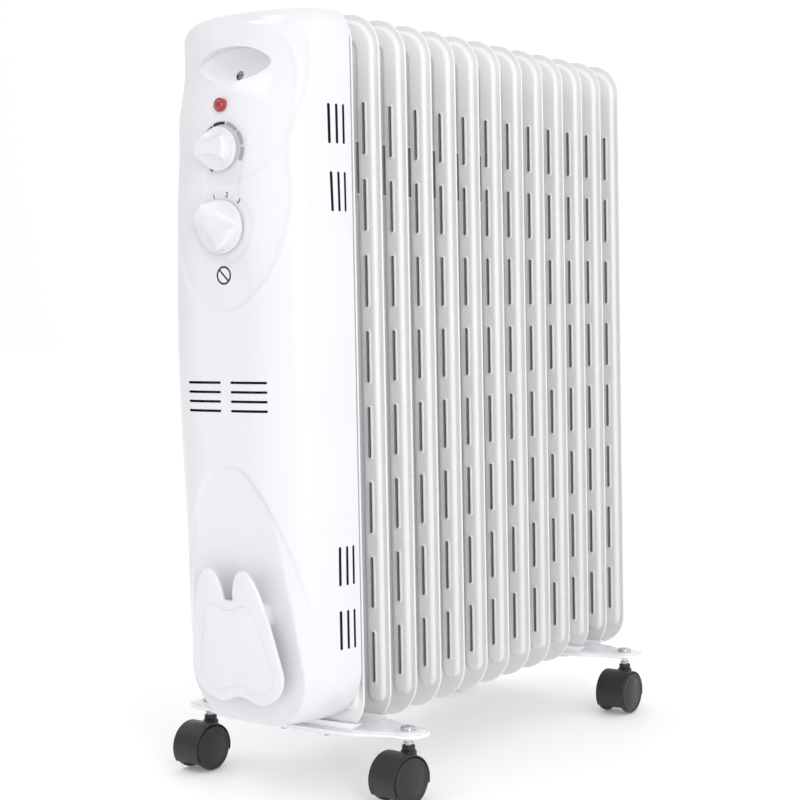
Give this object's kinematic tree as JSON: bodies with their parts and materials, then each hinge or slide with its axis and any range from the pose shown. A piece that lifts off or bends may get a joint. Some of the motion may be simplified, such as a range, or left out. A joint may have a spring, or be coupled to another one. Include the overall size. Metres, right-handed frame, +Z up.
{
  "type": "oil filled radiator heater",
  "caption": "Free-standing oil filled column radiator with pressed fins, a control box with two dials and a cord wrap, on swivelling twin-wheel castors.",
  "frame": {"origin": "on the floor, under the centre of the heater's bounding box", "axes": "+Z up, X across the fins, the control box faces -Y"},
  "size_m": [0.2438, 0.5552, 0.631],
  "materials": {
    "white_enamel": "glossy baked enamel",
    "white_plastic": "glossy moulded",
    "black_nylon": "satin moulded",
    "dark_phenolic": "matt moulded",
    "zinc_steel": "zinc plated",
    "bright_steel": "bright plated",
    "red_lens": "clear moulded, dark when off"
  },
  "bodies": {
    "heater": {"fin_01": "white_enamel", "fin_02": "white_enamel", "fin_03": "white_enamel", "fin_04": "white_enamel", "fin_05": "white_enamel", "fin_06": "white_enamel", "fin_07": "white_enamel", "fin_08": "white_enamel", "fin_09": "white_enamel", "fin_10": "white_enamel", "fin_11": "white_enamel", "fin_12": "white_enamel", "fin_13": "white_enamel", "rear_housing": "white_enamel", "foot_plate_front": "white_enamel", "foot_plate_rear": "white_enamel", "control_cover": "white_plastic", "cord_wrap": "white_plastic", "cord_gland": "black_nylon", "terminal_block": "dark_phenolic", "thermostat_body": "dark_phenolic", "selector_switch": "dark_phenolic", "oil_filler_plug": "zinc_steel", "heating_element": "zinc_steel", "cover_screw": "zinc_steel", "u_bolt_front": "zinc_steel", "u_bolt_rear": "zinc_steel", "wing_nut_front_left": "zinc_steel", "wing_nut_front_right": "zinc_steel", "wing_nut_rear_left": "zinc_steel", "wing_nut_rear_right": "zinc_steel", "lamp_lens": "red_lens", "castor_front_left_stem": "bright_steel", "castor_front_left_nut": "bright_steel", "castor_front_right_stem": "bright_steel", "castor_front_right_nut": "bright_steel", "castor_rear_left_stem": "bright_steel", "castor_rear_left_nut": "bright_steel", "castor_rear_right_stem": "bright_steel", "castor_rear_right_nut": "bright_steel"},
    "thermostat_dial": {"thermostat_knob": "white_plastic", "thermostat_shaft": "zinc_steel"},
    "selector_dial": {"selector_knob": "white_plastic", "selector_shaft": "zinc_steel"},
    "castor_front_left": {"castor_front_left_hood": "black_nylon", "castor_front_left_axle": "zinc_steel"},
    "castor_front_left_wheel_left": {"castor_front_left_wheel_left": "black_nylon"},
    "castor_front_left_wheel_right": {"castor_front_left_wheel_right": "black_nylon"},
    "castor_front_right": {"castor_front_right_hood": "black_nylon", "castor_front_right_axle": "zinc_steel"},
    "castor_front_right_wheel_left": {"castor_front_right_wheel_left": "black_nylon"},
    "castor_front_right_wheel_right": {"castor_front_right_wheel_right": "black_nylon"},
    "castor_rear_left": {"castor_rear_left_hood": "black_nylon", "castor_rear_left_axle": "zinc_steel"},
    "castor_rear_left_wheel_left": {"castor_rear_left_wheel_left": "black_nylon"},
    "castor_rear_left_wheel_right": {"castor_rear_left_wheel_right": "black_nylon"},
    "castor_rear_right": {"castor_rear_right_hood": "black_nylon", "castor_rear_right_axle": "zinc_steel"},
    "castor_rear_right_wheel_left": {"castor_rear_right_wheel_left": "black_nylon"},
    "castor_rear_right_wheel_right": {"castor_rear_right_wheel_right": "black_nylon"}
  },
  "joints": [
    {"name": "thermostat_turn", "type": "hinge", "parent": "heater", "child": "thermostat_dial", "pos_m": [0, -0.26388, 0.519], "axis": [0, 1, 0], "range_deg": [-58, 232]},
    {"name": "selector_turn", "type": "hinge", "parent": "heater", "child": "selector_dial", "pos_m": [0, -0.26388, 0.4585], "axis": [0, 1, 0], "range_deg": [0, 90]},
    {"name": "castor_front_left_swivel", "type": "hinge", "parent": "heater", "child": "castor_front_left", "pos_m": [-0.1044, -0.17158, 0.04], "axis": [0, 0, 1], "continuous": true},
    {"name": "castor_front_left_roll_left", "type": "hinge", "parent": "castor_front_left", "child": "castor_front_left_wheel_left", "pos_m": [-0.105, -0.18306, 0.019], "axis": [0.9986, -0.0523, 0], "continuous": true},
    {"name": "castor_front_left_roll_right", "type": "hinge", "parent": "castor_front_left", "child": "castor_front_left_wheel_right", "pos_m": [-0.105, -0.18306, 0.019], "axis": [0.9986, -0.0523, 0], "continuous": true},
    {"name": "castor_front_right_swivel", "type": "hinge", "parent": "heater", "child": "castor_front_right", "pos_m": [0.1044, -0.17158, 0.04], "axis": [0, 0, 1], "continuous": true},
    {"name": "castor_front_right_roll_left", "type": "hinge", "parent": "castor_front_right", "child": "castor_front_right_wheel_left", "pos_m": [0.1026, -0.18293, 0.019], "axis": [0.9877, -0.1564, 0], "continuous": true},
    {"name": "castor_front_right_roll_right", "type": "hinge", "parent": "castor_front_right", "child": "castor_front_right_wheel_right", "pos_m": [0.1026, -0.18293, 0.019], "axis": [0.9877, -0.1564, 0], "continuous": true},
    {"name": "castor_rear_left_swivel", "type": "hinge", "parent": "heater", "child": "castor_rear_left", "pos_m": [-0.1044, 0.19842, 0.04], "axis": [0, 0, 1], "continuous": true},
    {"name": "castor_rear_left_roll_left", "type": "hinge", "parent": "castor_rear_left", "child": "castor_rear_left_wheel_left", "pos_m": [-0.10162, 0.18727, 0.019], "axis": [0.9703, 0.2419, 0], "continuous": true},
    {"name": "castor_rear_left_roll_right", "type": "hinge", "parent": "castor_rear_left", "child": "castor_rear_left_wheel_right", "pos_m": [-0.10162, 0.18727, 0.019], "axis": [0.9703, 0.2419, 0], "continuous": true},
    {"name": "castor_rear_right_swivel", "type": "hinge", "parent": "heater", "child": "castor_rear_right", "pos_m": [0.1044, 0.19842, 0.04], "axis": [0, 0, 1], "continuous": true},
    {"name": "castor_rear_right_roll_left", "type": "hinge", "parent": "castor_rear_right", "child": "castor_rear_right_wheel_left", "pos_m": [0.1042, 0.18693, 0.019], "axis": [0.9998, -0.0175, 0], "continuous": true},
    {"name": "castor_rear_right_roll_right", "type": "hinge", "parent": "castor_rear_right", "child": "castor_rear_right_wheel_right", "pos_m": [0.1042, 0.18693, 0.019], "axis": [0.9998, -0.0175, 0], "continuous": true}
  ]
}
